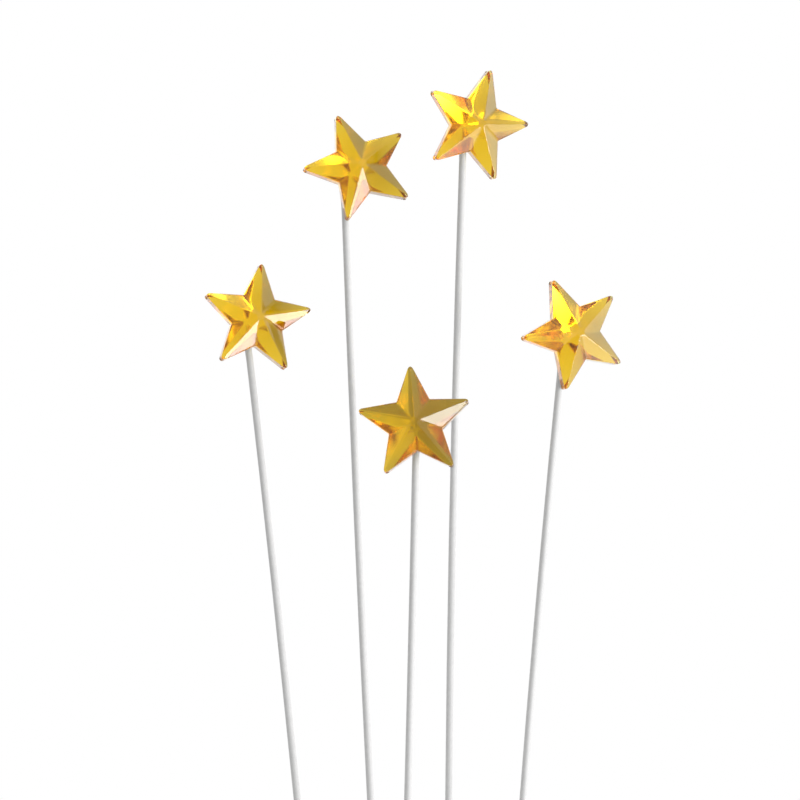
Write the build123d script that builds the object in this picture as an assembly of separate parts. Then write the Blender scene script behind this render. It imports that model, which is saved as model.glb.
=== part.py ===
from build123d import *
import os
from math import asin, atan2, cos, hypot, radians, sin, tan

# Cake topper: a set of five picks, each a faceted star gem glued to the top of a coated wire stem.
# Millimetres, +Z up, -Y towards the viewer. The origin is where the middle stem enters the cake.

# Star gem: a flat back, an upright side wall and facets that rise to one apex
star_points = 5
star_reach = 12.1  # centre to the end of a rounded tip
notch_reach = 5.9  # centre to the inner corner between two legs
tip_round = 0.55
wall_height = 1.55
crown_height = 2.8

# Mirror coat on the flat back
mirror_thickness = 0.12

# Stem: a steel wire in a white coating
wire_diameter = 1.0
coating_wall = 0.24
bond_gap = 0.01  # between the wire and its coating, and between the coating and the glue
insert_depth = 40.0  # straight lower stretch, pushed into the cake
neck_radius = 12.0  # bend behind the star's lower edge
glued_run = 10.0  # straight stretch that lies along the star's back
past_centre = 3.0  # how far the stem's upper end passes the star's centre

# Glue dab that holds the stem on the mirror
glue_film = 0.1  # between the mirror and the stem
glue_cover = 0.55  # over the stem and past its end
glue_margin = 1.3  # on each side of the stem
glue_length = 8.0
glue_round = 1.4

# The five picks. entry_x and entry_y: where the stem enters the cake. lean (to the right) and tilt (to the
# back): degrees there. bow: degrees that the lean gains up to the neck. rise: stem from the cake to the neck.
# yaw (to the right), pitch (up) and roll (counter-clockwise): degrees that the star is turned.
# aside: how far right of the star's centre the stem is glued.
picks = {
    "left": dict(
        entry_x=-23.5, entry_y=8.0, lean=-5.75, tilt=1.5, bow=-0.95, rise=92.5,
        yaw=18.8, pitch=11.8, roll=-7.7, aside=-2.4,
    ),
    "tall_left": dict(
        entry_x=-7.95, entry_y=11.0, lean=-2.9, tilt=0.25, bow=0.85, rise=123.4,
        yaw=13.0, pitch=15.0, roll=20.7, aside=-3.5,
    ),
    "middle": dict(
        entry_x=0.0, entry_y=0.0, lean=1.5, tilt=-1.35, bow=-0.3, rise=69.2,
        yaw=-3.9, pitch=11.3, roll=5.5, aside=0.3,
    ),
    "tall_right": dict(
        entry_x=8.85, entry_y=16.0, lean=0.45, tilt=-3.35, bow=1.5, rise=134.6,
        yaw=24.2, pitch=0.3, roll=-15.6, aside=-2.2,
    ),
    "right": dict(
        entry_x=24.6, entry_y=9.0, lean=4.3, tilt=-2.85, bow=1.2, rise=89.35,
        yaw=23.9, pitch=4.9, roll=22.9, aside=-2.05,
    ),
}

stem_radius = wire_diameter / 2 + bond_gap + coating_wall
leg_turn = 360 / star_points


def sharp_tip_reach():
    """Where a leg's two edges would meet: each runs from a notch and touches the tip's round."""
    notch_along = notch_reach * cos(radians(leg_turn / 2))
    notch_across = notch_reach * sin(radians(leg_turn / 2))
    round_along = star_reach - tip_round - notch_along
    to_round = atan2(notch_across, round_along)
    half_angle = to_round - asin(tip_round / hypot(round_along, notch_across))
    return notch_along + notch_across / tan(half_angle)


def star_corners(height):
    """Sharp tips and notches in turn, counter-clockwise from the upper tip."""
    corners = []
    for leg in range(star_points):
        tip_angle = 90 + leg * leg_turn
        corners.append(Vector(sharp_tip_reach(), 0, height).rotate(Axis.Z, tip_angle))
        corners.append(Vector(notch_reach, 0, height).rotate(Axis.Z, tip_angle + leg_turn / 2))
    return corners


def star_outline():
    """The flat star with its tips rounded."""
    outline = make_face(Polyline(*star_corners(0), close=True))
    tips = outline.vertices().filter_by(lambda corner: Vector(corner).length > star_reach)
    return fillet(tips, tip_round)


def polygon_face(*corners):
    return Face(Wire.make_polygon(corners))


def star_gem():
    """Sharp faceted body, trimmed to the rounded outline. The flat back is at height 0."""
    lower = star_corners(0)
    upper = star_corners(wall_height)
    apex = Vector(0, 0, wall_height + crown_height)
    sides = [polygon_face(*lower)]
    for this in range(len(lower)):
        after = (this + 1) % len(lower)
        sides.append(polygon_face(lower[this], lower[after], upper[after], upper[this]))
        sides.append(polygon_face(upper[this], upper[after], apex))
    faceted = Solid(Shell(sides))
    return faceted & extrude(star_outline(), wall_height + crown_height)


def mirror_back():
    return extrude(star_outline(), -mirror_thickness)


def square_to(direction, axis):
    """The part of a direction that is square to an axis, as a unit vector."""
    return (direction - axis * direction.dot(axis)).normalized()


def bend(start, heading, towards, turn, radius):
    """End point and heading of an arc that turns from one heading towards a direction square to it."""
    end = start + heading * (radius * sin(turn)) + towards * (radius * (1 - cos(turn)))
    return end, heading * cos(turn) + towards * sin(turn)


def star_facing(pick):
    """The way a star's front faces, and its level direction to the right."""
    yaw, pitch = radians(pick["yaw"]), radians(pick["pitch"])
    front = Vector(sin(yaw) * cos(pitch), -cos(yaw) * cos(pitch), sin(pitch))
    return front, Vector(cos(yaw), sin(yaw), 0)


def pick_layout(pick):
    """The stem's path and upper end, the star's plane on its mirror, and the glue's plane behind it."""
    front, level = star_facing(pick)
    entry = Vector(pick["entry_x"], pick["entry_y"], 0)
    heading = Vector(tan(radians(pick["lean"])), tan(radians(pick["tilt"])), 1).normalized()
    foot = entry - heading * insert_depth
    bow = radians(pick["bow"])
    neck, neck_heading = bend(entry, heading, square_to(Vector(1, 0, 0), heading), bow, pick["rise"] / bow)
    along = square_to(neck_heading, front)
    turn = radians(neck_heading.get_angle(along))
    seat, _ = bend(neck, neck_heading, square_to(along, neck_heading), turn, neck_radius)
    end = seat + along * glued_run
    path = Wire([
        Edge.make_line(foot, entry),
        Edge.make_tangent_arc(entry, heading, neck),
        Edge.make_tangent_arc(neck, neck_heading, seat),
        Edge.make_line(seat, end),
    ])
    across = along.cross(front)
    mirror_over_end = end + front * (stem_radius + glue_film)
    star_centre = mirror_over_end - along * past_centre - across * pick["aside"] + front * mirror_thickness
    star_plane = Plane(star_centre, x_dir=level.rotate(Axis((0, 0, 0), front), pick["roll"]), z_dir=front)
    glue_centre = mirror_over_end + along * (glue_cover - glue_length / 2)
    glue_plane = Plane(glue_centre, x_dir=along, z_dir=-front)
    return path, Plane(foot, z_dir=heading), star_plane, glue_plane


def glue_dab(glue_plane, stem_envelope):
    """A rounded pad of glue over the stem's upper end, open where the stem passes through."""
    width = 2 * (stem_radius + glue_margin)
    height = 2 * stem_radius + glue_film + glue_cover
    pad = extrude(SlotOverall(glue_length, width), height)
    rim = pad.faces().sort_by(Axis.Z)[-1].edges()
    pad = fillet(rim, min(glue_round, 0.9 * height, 0.45 * width))
    return pad.moved(glue_plane.location) - stem_envelope


def swept(profile, start_plane, path):
    return sweep(start_plane * profile, path=path)


def solid_of(shape):
    return shape.solids()[0]


os.makedirs("parts", exist_ok=True)
for place, pick in picks.items():
    path, foot_plane, star_plane, glue_plane = pick_layout(pick)
    bore = Circle(wire_diameter / 2 + bond_gap)
    pieces = {
        "star": star_gem().moved(star_plane.location),
        "mirror_back": mirror_back().moved(star_plane.location),
        "glue_dab": glue_dab(glue_plane, swept(Circle(stem_radius + bond_gap), foot_plane, path)),
        "stem_wire": swept(Circle(wire_diameter / 2), foot_plane, path),
        "stem_coating": swept(Circle(stem_radius) - bore, foot_plane, path),
    }
    for piece, shape in pieces.items():
        export_step(solid_of(shape), f"parts/{piece}_{place}.step")
    print(place, "stem length", round(path.length, 2), "star centre", star_plane.origin)
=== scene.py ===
from math import cos, radians, sin, sqrt, tan

import bmesh
import bpy
from mathutils import Matrix, Vector


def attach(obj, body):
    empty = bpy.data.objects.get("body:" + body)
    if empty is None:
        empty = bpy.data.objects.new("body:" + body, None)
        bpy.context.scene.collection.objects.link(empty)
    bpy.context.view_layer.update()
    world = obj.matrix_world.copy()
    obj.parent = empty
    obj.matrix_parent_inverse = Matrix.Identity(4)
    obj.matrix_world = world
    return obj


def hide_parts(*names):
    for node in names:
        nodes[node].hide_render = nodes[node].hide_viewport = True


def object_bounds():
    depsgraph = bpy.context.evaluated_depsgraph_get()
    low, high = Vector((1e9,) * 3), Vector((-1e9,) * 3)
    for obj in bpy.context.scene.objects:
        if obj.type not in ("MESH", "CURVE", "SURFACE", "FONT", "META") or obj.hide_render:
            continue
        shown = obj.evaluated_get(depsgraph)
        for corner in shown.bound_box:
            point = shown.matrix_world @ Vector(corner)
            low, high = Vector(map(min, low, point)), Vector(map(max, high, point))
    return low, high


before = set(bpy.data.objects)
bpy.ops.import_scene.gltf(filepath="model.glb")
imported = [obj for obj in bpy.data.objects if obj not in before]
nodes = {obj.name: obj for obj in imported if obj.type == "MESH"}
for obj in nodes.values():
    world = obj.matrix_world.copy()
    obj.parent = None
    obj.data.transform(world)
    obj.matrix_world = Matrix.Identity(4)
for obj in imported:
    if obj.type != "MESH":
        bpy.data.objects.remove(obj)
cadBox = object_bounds()
scene = bpy.context.scene
scene.view_settings.view_transform = "Standard"
scene.cycles.glossy_bounces = 12  # light crosses a gem many times

# Places of the five picks, from left to right in the photograph
places = ("left", "tall_left", "middle", "tall_right", "right")
print("frame loaded:", len(nodes), "nodes")


# Shader maths: wraps an output socket, so that sums on it add Math nodes
class Value:
    def __init__(self, tree, socket):
        self.tree = tree
        self.socket = socket

    def node(self, kind, settings, sockets, output=0):
        made = self.tree.nodes.new(kind)
        for name, setting in settings.items():
            setattr(made, name, setting)
        for name, value in sockets.items():
            if isinstance(value, Value):
                self.tree.links.new(value.socket, made.inputs[name])
            else:
                made.inputs[name].default_value = value
        return Value(self.tree, made.outputs[output]) if made.outputs else None

    def sum(self, operation, first, second):
        return self.node("ShaderNodeMath", {"operation": operation}, {0: first, 1: second})

    def __add__(self, other):
        return self.sum("ADD", self, other)

    def __radd__(self, other):
        return self.sum("ADD", other, self)

    def __sub__(self, other):
        return self.sum("SUBTRACT", self, other)

    def __rsub__(self, other):
        return self.sum("SUBTRACT", other, self)

    def __mul__(self, other):
        return self.sum("MULTIPLY", self, other)

    def __rmul__(self, other):
        return self.sum("MULTIPLY", other, self)

    def between(self, low, high):
        sockets = {"Value": self, "From Min": low, "From Max": high}
        return self.node("ShaderNodeMapRange", {"interpolation_type": "SMOOTHSTEP"}, sockets)

    def mix(self, first, second):
        sockets = {"Factor": self, 6: first, 7: second}
        return self.node("ShaderNodeMix", {"data_type": "RGBA"}, sockets, output=2)


def newFinish(name):
    # an empty material, and the wrapped Object coordinates that its patterns read
    finish = bpy.data.materials.new(name)
    finish.use_nodes = True
    finish.node_tree.nodes.clear()
    start = Value(finish.node_tree, None)
    return finish, start.node("ShaderNodeTexCoord", {}, {}, output="Object")


def noise(at, scale, detail):
    sockets = {"Vector": at, "Scale": scale, "Detail": detail}
    return at.node("ShaderNodeTexNoise", {}, sockets, output="Fac")


def stretched(at, scale):
    return at.node("ShaderNodeMapping", {}, {"Vector": at, "Scale": scale})


def bump(at, height, depth, strength):
    return at.node("ShaderNodeBump", {}, {"Height": height, "Distance": depth, "Strength": strength})


def surface(at, sockets, volume=None):
    ends = {"Surface": at.node("ShaderNodeBsdfPrincipled", {}, sockets)}
    if volume:
        ends["Volume"] = volume
    at.node("ShaderNodeOutputMaterial", {}, ends)


# Amber acrylic: clear plastic that swallows blue, then green, along the light's way
acrylic = {
    "tint": (0.987, 0.935, 0.0, 1),
    "density": 650.0,
    "ior": 1.49,
    "clean": (1.0, 1.0, 0.98, 1),
    "smudged": (1.0, 0.985, 0.95, 1),
    "smudgeScale": 260.0,
    "smudgeRange": (0.45, 0.75),
    "roughness": 0.012,
    "smudgeDulls": 0.02,
    "coat": 0.4,
    "coatRoughness": 0.02,
    "coatIor": 1.55,
    "waveScale": 420.0,  # moulded facets are never quite flat
    "waveDepth": 0.00001,
    "waveStrength": 0.3,
}


def amberAcrylic():
    finish, at = newFinish("amber_acrylic")
    smudge = noise(at, acrylic["smudgeScale"], detail=4.0).between(*acrylic["smudgeRange"])
    waves = noise(at, acrylic["waveScale"], detail=1.0)
    absorbing = {"Color": acrylic["tint"], "Density": acrylic["density"]}
    surface(at, {
        "Base Color": smudge.mix(acrylic["clean"], acrylic["smudged"]),
        "Roughness": smudge * acrylic["smudgeDulls"] + acrylic["roughness"],
        "IOR": acrylic["ior"],
        "Transmission Weight": 1.0,
        "Coat Weight": acrylic["coat"],
        "Coat Roughness": acrylic["coatRoughness"],
        "Coat IOR": acrylic["coatIor"],
        "Normal": bump(at, waves, acrylic["waveDepth"], acrylic["waveStrength"]),
    }, at.node("ShaderNodeVolumeAbsorption", {}, absorbing))
    return finish


# Mirror coat: gold tinted where it is seen through the gem, satin silver on the outside
gemBacking = {"colour": (0.94, 0.725, 0.4, 1), "worn": (0.85, 0.7, 0.5, 1), "roughness": 0.11}
outerBack = {"colour": (0.62, 0.61, 0.59, 1), "worn": (0.48, 0.46, 0.44, 1), "roughness": 0.42}
scratching = {"stretch": (300.0, 300.0, 6000.0), "range": (0.55, 0.8), "dulls": 0.08}


def mirror(name, side):
    finish, at = newFinish(name)
    scratches = noise(stretched(at, scratching["stretch"]), 1.0, detail=3.0).between(*scratching["range"])
    surface(at, {
        "Base Color": scratches.mix(side["colour"], side["worn"]),
        "Metallic": 1.0,
        "Roughness": scratches * scratching["dulls"] + side["roughness"],
    })
    return finish


# White coating: matte plastic, faintly mottled and grainy
coating = {
    "dark": (0.8, 0.8, 0.795, 1),
    "pale": (0.84, 0.84, 0.835, 1),
    "mottleScale": 900.0,
    "mottleRange": (0.3, 0.7),
    "roughness": 0.45,
    "mottleDulls": 0.15,
    "grainScale": 5000.0,
    "grainDepth": 0.00003,
    "grainStrength": 0.4,
}


def whiteCoating():
    finish, at = newFinish("white_coating")
    mottle = noise(at, coating["mottleScale"], detail=4.0)
    grain = noise(at, coating["grainScale"], detail=2.0)
    surface(at, {
        "Base Color": mottle.between(*coating["mottleRange"]).mix(coating["dark"], coating["pale"]),
        "Roughness": mottle * coating["mottleDulls"] + coating["roughness"],
        "Normal": bump(at, grain, coating["grainDepth"], coating["grainStrength"]),
    })
    return finish


# Steel wire: drawing lines along its length
steel = {
    "dark": (0.55, 0.54, 0.52, 1),
    "pale": (0.75, 0.74, 0.72, 1),
    "lineStretch": (6000.0, 6000.0, 60.0),
    "roughness": 0.22,
    "lineDulls": 0.2,
    "lineDepth": 0.00002,
    "lineStrength": 0.5,
}


def drawnSteel():
    finish, at = newFinish("steel_wire")
    lines = noise(stretched(at, steel["lineStretch"]), 1.0, detail=3.0)
    surface(at, {
        "Base Color": lines.mix(steel["dark"], steel["pale"]),
        "Metallic": 1.0,
        "Roughness": lines * steel["lineDulls"] + steel["roughness"],
        "Normal": bump(at, lines, steel["lineDepth"], steel["lineStrength"]),
    })
    return finish


# Clear glue: slightly cloudy
adhesive = {
    "clear": (0.95, 0.94, 0.9, 1),
    "cloudy": (0.86, 0.85, 0.8, 1),
    "cloudScale": 700.0,
    "roughness": 0.12,
    "cloudDulls": 0.2,
    "ior": 1.48,
    "transmission": 0.8,
    "cloudDepth": 0.0001,
    "cloudStrength": 0.3,
}


def clearGlue():
    finish, at = newFinish("clear_glue")
    cloud = noise(at, adhesive["cloudScale"], detail=4.0)
    surface(at, {
        "Base Color": cloud.mix(adhesive["clear"], adhesive["cloudy"]),
        "Roughness": cloud * adhesive["cloudDulls"] + adhesive["roughness"],
        "IOR": adhesive["ior"],
        "Transmission Weight": adhesive["transmission"],
        "Normal": bump(at, cloud, adhesive["cloudDepth"], adhesive["cloudStrength"]),
    })
    return finish


finishes = {
    "amber_acrylic": amberAcrylic(),
    "gem_backing": mirror("gem_backing", gemBacking),
    "mirror_coat": mirror("mirror_coat", outerBack),
    "white_coating": whiteCoating(),
    "steel_wire": drawnSteel(),
    "clear_glue": clearGlue(),
}
print("finishes made:", ", ".join(finishes))

samePlace = 0.000001  # corners that are nearer to each other than this are one


def mergedCopy(node):
    # a CAD node's mesh is loose triangles, so a copy is merged first
    copy = bmesh.new()
    copy.from_mesh(nodes[node].data)
    bmesh.ops.remove_doubles(copy, verts=copy.verts, dist=samePlace)
    return copy


def newPiece(name, shape, body, slot, replaced, *finishNames):
    mesh = bpy.data.meshes.new(name)
    shape.to_mesh(mesh)
    shape.free()
    piece = bpy.data.objects.new(name, mesh)
    scene.collection.objects.link(piece)
    for finishName in finishNames:
        mesh.materials.append(finishes[finishName])
    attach(piece, body)
    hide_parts(replaced)
    return piece


# The gem: a star outline pulled up into a wall and a crown, with its tips rounded and its edges softened
gem = {
    "legs": 5,
    "backGap": 0.00002,  # between the gem's back and the mirror plate
    "tipSegments": 6,
    "softEdge": 7.0,  # per cent of the lines that it runs into, so that it narrows towards the tips
    "softSegments": 3,
    "softFrom": 12.0,  # degrees between two faces from which their edge is softened
    "shortest": 0.000004,  # edges shorter than this are dissolved
    "flat": 1.0,  # degrees within which the plate's triangles are one face
    "nearly": 0.9,  # share of the wall's height, or of facing straight back, that counts as all of it
    "tipFrom": 1.5,  # notch reaches from the centre beyond which a corner is a tip
}


# Where a star sits, read from its mirror plate: the middle of the gem's flat back, its facing and sizes
def starSeat(place):
    plate = mergedCopy(f"mirror_back_{place}")
    bmesh.ops.dissolve_limit(plate, angle_limit=radians(gem["flat"]), verts=plate.verts, edges=plate.edges)
    front = max((face for face in plate.faces if face.normal.y < 0), key=lambda face: face.calc_area())
    outline = [loop.vert.co.copy() for loop in front.loops]
    normal = front.normal.copy()
    plate.free()
    centre = sum(outline, Vector()) / len(outline)
    reaches = [(corner - centre).length for corner in outline]
    notchReach = min(reaches)
    first = reaches.index(notchReach)
    notchWay = (outline[first] - centre).normalized()
    seat = Matrix.Identity(4)
    for column, axis in enumerate((notchWay.cross(normal), notchWay, normal, centre)):
        seat.col[column].xyz = axis
    # the leg's edge runs from the notch to where the tip's round starts,
    # and meets the leg's axis at the sharp tip
    inside = seat.inverted()
    notch = inside @ outline[first]
    roundStart = inside @ outline[(first + 1) % len(outline)]
    edge = roundStart - notch
    halfLeg = radians(180 / gem["legs"])
    turn = halfLeg if roundStart.x < 0 else -halfLeg
    legAxis = Vector((-sin(turn), cos(turn), 0))
    along = (notch.x * legAxis.y - notch.y * legAxis.x) / (legAxis.x * edge.y - legAxis.y * edge.x)
    sharpTip = notch + edge * along
    # bevel's round on a sharp corner is fuller than the CAD's arc,
    # so it starts further from the tip for the same reach: the arc's run is this share of it
    arcShare = (2 - sqrt(2)) * (1 + sin(legAxis.angle(edge)))
    corners = [inside @ vertex.co for vertex in nodes[f"star_{place}"].data.vertices]
    return {
        "matrix": seat,
        "notchReach": notchReach,
        "sharpReach": sharpTip.length,
        "tipRun": (sharpTip - roundStart).length / arcShare,
        "wall": max(corner.z for corner in corners if abs(corner.xy.length - notchReach) < samePlace),
        "apex": max(corner.z for corner in corners),
    }


def makeGem(place, seat):
    shape = bmesh.new()
    sides = 2 * gem["legs"]
    ring = bmesh.ops.create_circle(shape, cap_ends=True, segments=sides, radius=seat["notchReach"])
    stretch = seat["sharpReach"] / seat["notchReach"]
    bmesh.ops.scale(shape, verts=ring["verts"][1::2], vec=(stretch, stretch, 1.0))
    bmesh.ops.translate(shape, verts=shape.verts, vec=(0, 0, gem["backGap"]))
    raised = bmesh.ops.extrude_face_region(shape, geom=shape.faces[:])["geom"]
    upper = [item for item in raised if isinstance(item, bmesh.types.BMVert)]
    top = [item for item in raised if isinstance(item, bmesh.types.BMFace)]
    bmesh.ops.translate(shape, verts=upper, vec=(0, 0, seat["wall"] - gem["backGap"]))
    bmesh.ops.poke(shape, faces=top, offset=seat["apex"] - seat["wall"])
    bmesh.ops.recalc_face_normals(shape, faces=shape.faces)
    for face in shape.faces:
        face.material_index = 1 if face.normal.z < -gem["nearly"] else 0  # the back shows the mirror
    nearlyWall = gem["nearly"] * seat["wall"]
    tips = [
        edge for edge in shape.edges
        if abs(edge.verts[0].co.z - edge.verts[1].co.z) > nearlyWall
        and min(corner.co.xy.length for corner in edge.verts) > gem["tipFrom"] * seat["notchReach"]
    ]
    bmesh.ops.bevel(
        shape, geom=tips, offset=seat["tipRun"], offset_type="OFFSET", segments=gem["tipSegments"],
        profile=0.5, affect="EDGES", material=-1,
    )
    crown = [
        edge for edge in shape.edges
        if min(corner.co.z for corner in edge.verts) > nearlyWall
        and edge.calc_face_angle(0) > radians(gem["softFrom"])
    ]
    bmesh.ops.bevel(
        shape, geom=crown, offset=gem["softEdge"], offset_type="PERCENT", segments=gem["softSegments"],
        profile=0.5, affect="EDGES", material=-1, clamp_overlap=True,
    )
    bmesh.ops.dissolve_degenerate(shape, dist=gem["shortest"], edges=shape.edges)
    bmesh.ops.recalc_face_normals(shape, faces=shape.faces)
    for face in shape.faces:
        face.smooth = True
    shape.transform(seat["matrix"])
    piece = newPiece(
        f"gem_{place}", shape, f"{place}_pick", "amber_acrylic", f"star_{place}",
        "amber_acrylic", "gem_backing",
    )
    shading = piece.modifiers.new("facets", "WEIGHTED_NORMAL")
    shading.weight = 100  # large faces set the shading, so that facets look flat
    shading.keep_sharp = True


# The glue: a drop set by hand over the stem's upper end, inside the room of the CAD dab
glue = {
    "narrow": 0.8,  # width against the CAD dab's, at the stem's end
    "taper": 0.3,  # share of the width lost at the other end
    "short": 0.85,  # length against the CAD dab's
    "into": 0.00006,  # sunk into the mirror plate, so that the dents leave no gap
    "voxel": 0.00014,  # size of its faces
    "dents": 0.0003,  # depth of the deepest
    "dentSize": 0.0016,
    "smoothing": 8,  # rounds
}
dents = bpy.data.textures.new("glue_dents", "CLOUDS")
dents.noise_scale = glue["dentSize"]


def makeGlue(place, seat):
    shape = mergedCopy(f"glue_dab_{place}")
    hull = bmesh.ops.convex_hull(shape, input=shape.verts)  # closes the bore, the stem is sunk in the drop
    spare = hull["geom_interior"] + hull["geom_unused"]
    spareCorners = [item for item in spare if isinstance(item, bmesh.types.BMVert)]
    bmesh.ops.delete(shape, geom=spareCorners, context="VERTS")
    middle = sum((corner.co for corner in shape.verts), Vector()) / len(shape.verts)
    front = seat["matrix"].col[2].xyz
    corners = [corner.co - middle for corner in shape.verts]
    upwards = [corner - front * corner.dot(front) for corner in corners if corner.z > 0]
    along = max(upwards, key=lambda way: way.length).normalized()  # up along the stem, flat on the mirror
    across = along.cross(front)
    end = max(corner.dot(along) for corner in corners)
    length = end - min(corner.dot(along) for corner in corners)
    for corner in shape.verts:
        fromEnd = end - (corner.co - middle).dot(along)
        aside = (corner.co - middle).dot(across)
        width = glue["narrow"] * (1 - glue["taper"] * fromEnd / length)
        shorter = along * fromEnd * (1 - glue["short"])
        narrower = across * aside * (1 - width)
        corner.co += shorter - narrower + front * glue["into"]
    bmesh.ops.recalc_face_normals(shape, faces=shape.faces)
    piece = newPiece(
        f"glue_drop_{place}", shape, f"{place}_pick", "clear_glue", f"glue_dab_{place}", "clear_glue",
    )
    even = piece.modifiers.new("even_mesh", "REMESH")
    even.mode = "VOXEL"
    even.voxel_size = glue["voxel"]
    even.use_smooth_shade = True
    uneven = piece.modifiers.new("uneven", "DISPLACE")
    uneven.texture = dents
    uneven.texture_coords = "LOCAL"
    uneven.mid_level = 1.0  # inwards only
    uneven.strength = glue["dents"]
    rounded = piece.modifiers.new("rounded", "SMOOTH")
    rounded.iterations = glue["smoothing"]


# The stems: the CAD tube and its core, with a small chamfer at their cut ends
stem = {
    "chamfer": 0.00006,
    "chamferSegments": 2,
    "rimFrom": 60.0,  # degrees between two faces from which their edge is a cut end's rim
}


def makeStem(name, node, finishName, place):
    shape = mergedCopy(f"{node}_{place}")
    rims = [edge for edge in shape.edges if edge.calc_face_angle(0) > radians(stem["rimFrom"])]
    bmesh.ops.bevel(
        shape, geom=rims, offset=stem["chamfer"], offset_type="OFFSET", segments=stem["chamferSegments"],
        profile=0.5, affect="EDGES", material=-1, clamp_overlap=True,
    )
    bmesh.ops.recalc_face_normals(shape, faces=shape.faces)
    for face in shape.faces:
        face.smooth = True
    piece = newPiece(f"{name}_{place}", shape, f"{place}_pick", finishName, f"{node}_{place}", finishName)
    shading = piece.modifiers.new("shading", "WEIGHTED_NORMAL")
    shading.weight = 100  # large faces set the shading, so that the cut ends look flat


for place in places:
    seat = starSeat(place)
    makeGem(place, seat)
    makeGlue(place, seat)
    makeStem("stem_sleeve", "stem_coating", "white_coating", place)
    makeStem("stem_core", "stem_wire", "steel_wire", place)
    plate = nodes[f"mirror_back_{place}"].data  # the CAD plate stays, with a better finish
    plate.materials.clear()
    plate.materials.append(finishes["mirror_coat"])
    print("pick made:", place)

# Camera of the photograph: level, straight ahead
view = {
    "distance": 0.7,  # to the upright plane through the origin
    "across": 0.16783,  # width of the view in that plane
    "centre": (-0.00161, 0.0839),  # right and up
    "sensor": 36.0,
}
cameraData = bpy.data.cameras.new("camera")
cameraData.sensor_width = view["sensor"]
cameraData.lens = view["sensor"] * view["distance"] / view["across"]
camera = bpy.data.objects.new("camera", cameraData)
camera.location = (view["centre"][0], -view["distance"], view["centre"][1])
camera.rotation_euler = (radians(90), 0, 0)
scene.collection.objects.link(camera)
scene.camera = camera
print("camera set:", round(cameraData.lens, 1), "mm lens")

# Pale floor under the stems' feet, which fades into the white background
ground = {
    "radius": 0.15,
    "segments": 96,
    "under": 0.0005,  # below the feet
    "solid": 0.05,  # radius at which it starts to fade
    "paler": 0.45,  # share that the camera alone sees through it
    "colour": (0.86, 0.86, 0.86, 1),
    "cloudy": (0.9, 0.9, 0.9, 1),
    "cloudScale": 40.0,
}
floorShape = bmesh.new()
bmesh.ops.create_circle(floorShape, cap_ends=True, segments=ground["segments"], radius=ground["radius"])
bmesh.ops.translate(floorShape, verts=floorShape.verts, vec=(0, 0, cadBox[0].z - ground["under"]))
floorMesh = bpy.data.meshes.new("floor")
floorShape.to_mesh(floorMesh)
floorShape.free()
floor = bpy.data.objects.new("floor", floorMesh)
scene.collection.objects.link(floor)
finish, at = newFinish("pale_floor")
cloud = noise(at, ground["cloudScale"], detail=3.0)
level = stretched(at, (1, 1, 0))
fromMiddle = at.node("ShaderNodeVectorMath", {"operation": "LENGTH"}, {0: level}, output="Value")
fade = fromMiddle.between(ground["solid"], ground["radius"])
seen = at.node("ShaderNodeLightPath", {}, {}, output="Is Camera Ray")
fade = fade + (1 - fade) * seen * ground["paler"]
pale = at.node("ShaderNodeBsdfDiffuse", {}, {"Color": cloud.mix(ground["colour"], ground["cloudy"])})
clear = at.node("ShaderNodeBsdfTransparent", {}, {})
shown = at.node("ShaderNodeMixShader", {}, {0: fade, 1: pale, 2: clear})
at.node("ShaderNodeOutputMaterial", {}, {"Surface": shown})
floorMesh.materials.append(finish)
print("floor laid")

# Soft studio light: a large panel and a small one, to the right of the camera. Each is given by the point
# that it faces, by the degrees to the right and up from there, by its size in degrees as seen from there,
# by its distance and by its radiance.
panels = {
    "key_panel": {
        "faces": (0.002, 0.005, 0.105), "right": 64.5, "up": -14.0, "wide": 19.0, "high": 28.0,
        "distance": 1.2, "radiance": 6.0,
    },
    "small_panel": {
        "faces": (0.003, 0.0, 0.079), "right": 34.8, "up": -15.4, "wide": 3.4, "high": 3.4,
        "distance": 0.7, "radiance": 7.3,
    },
}
wattsPerArea = 4  # Blender's watts for a square metre of panel at a radiance of 1


def wayTo(right, up):
    right, up = radians(right), radians(up)
    return Vector((sin(right) * cos(up), -cos(right) * cos(up), sin(up)))


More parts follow.
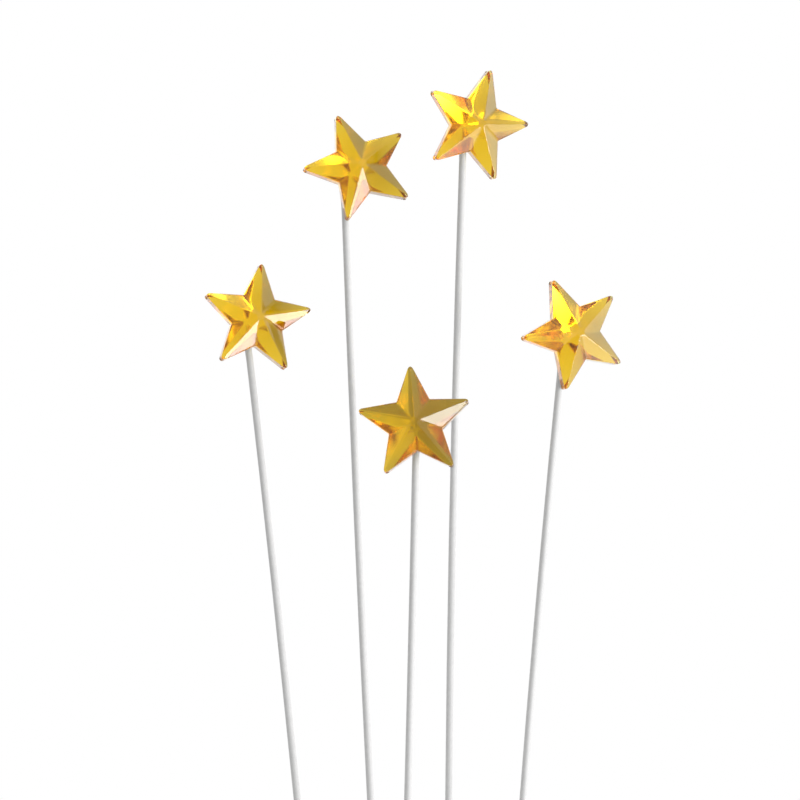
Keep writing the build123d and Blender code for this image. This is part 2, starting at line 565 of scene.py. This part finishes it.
def softbox(name, faces, right, up, wide, high, distance, radiance):
    way = wayTo(right, up)
    data = bpy.data.lights.new(name, "AREA")
    data.shape = "RECTANGLE"
    data.size = 2 * distance * tan(radians(wide / 2))
    data.size_y = 2 * distance * tan(radians(high / 2))
    data.energy = radiance * wattsPerArea * data.size * data.size_y
    lamp = bpy.data.objects.new(name, data)
    lamp.location = Vector(faces) + way * distance
    lamp.rotation_euler = (-way).to_track_quat("-Z", "Y").to_euler()
    scene.collection.objects.link(lamp)


for name, panel in panels.items():
    softbox(name, **panel)

# The room: dim, and brighter towards some places. Each glow is given by its middle (degrees to the right
# and up), by the angles at which it starts and is full, and by what it adds. A glow in the gloss shows only
# in reflections and through clear pieces, and sheds no soft light.
room = 0.38
white = (1, 1, 1, 1)
glows = {
    "wall on the right": {"right": 72, "up": 27, "starts": 82, "full": 22, "adds": 0.58, "gloss": False},
    "wall behind, left": {"right": -125, "up": 10, "starts": 85, "full": 25, "adds": 0.2, "gloss": False},
    "table top": {"right": 70, "up": -42, "starts": 28, "full": 12, "adds": 2.4, "gloss": True},
    "paper on the table": {"right": 33, "up": -33, "starts": 9, "full": 4, "adds": 1.2, "gloss": True},
    "far window": {"right": 116, "up": 2, "starts": 34, "full": 10, "adds": 1.1, "gloss": True},
    "white backdrop": {"right": 180, "up": 0, "starts": 95, "full": 45, "adds": 0.5, "gloss": True},
}
world = bpy.data.worlds.new("studio")
world.use_nodes = True
world.node_tree.nodes.clear()
start = Value(world.node_tree, None)
way = start.node("ShaderNodeTexCoord", {}, {}, output="Generated")
seen = start.node("ShaderNodeLightPath", {}, {}, output="Is Camera Ray")
gloss = start.node("ShaderNodeLightPath", {}, {}, output="Is Glossy Ray")
through = start.node("ShaderNodeLightPath", {}, {}, output="Is Transmission Ray")
inGloss = start.sum("MAXIMUM", gloss, through)
strength = room
for glow in glows.values():
    ways = {0: way, 1: wayTo(glow["right"], glow["up"])}
    nearness = start.node("ShaderNodeVectorMath", {"operation": "DOT_PRODUCT"}, ways, output="Value")
    lit = nearness.between(cos(radians(glow["starts"])), cos(radians(glow["full"]))) * glow["adds"]
    strength = (lit * inGloss if glow["gloss"] else lit) + strength
strength = strength * (1 - seen) + seen  # the camera sees plain white
sky = start.node("ShaderNodeBackground", {}, {"Color": white, "Strength": strength})
start.node("ShaderNodeOutputWorld", {}, {"Surface": sky})
scene.world = world
print("lights set:", len(panels), "panels and", len(glows), "glows")
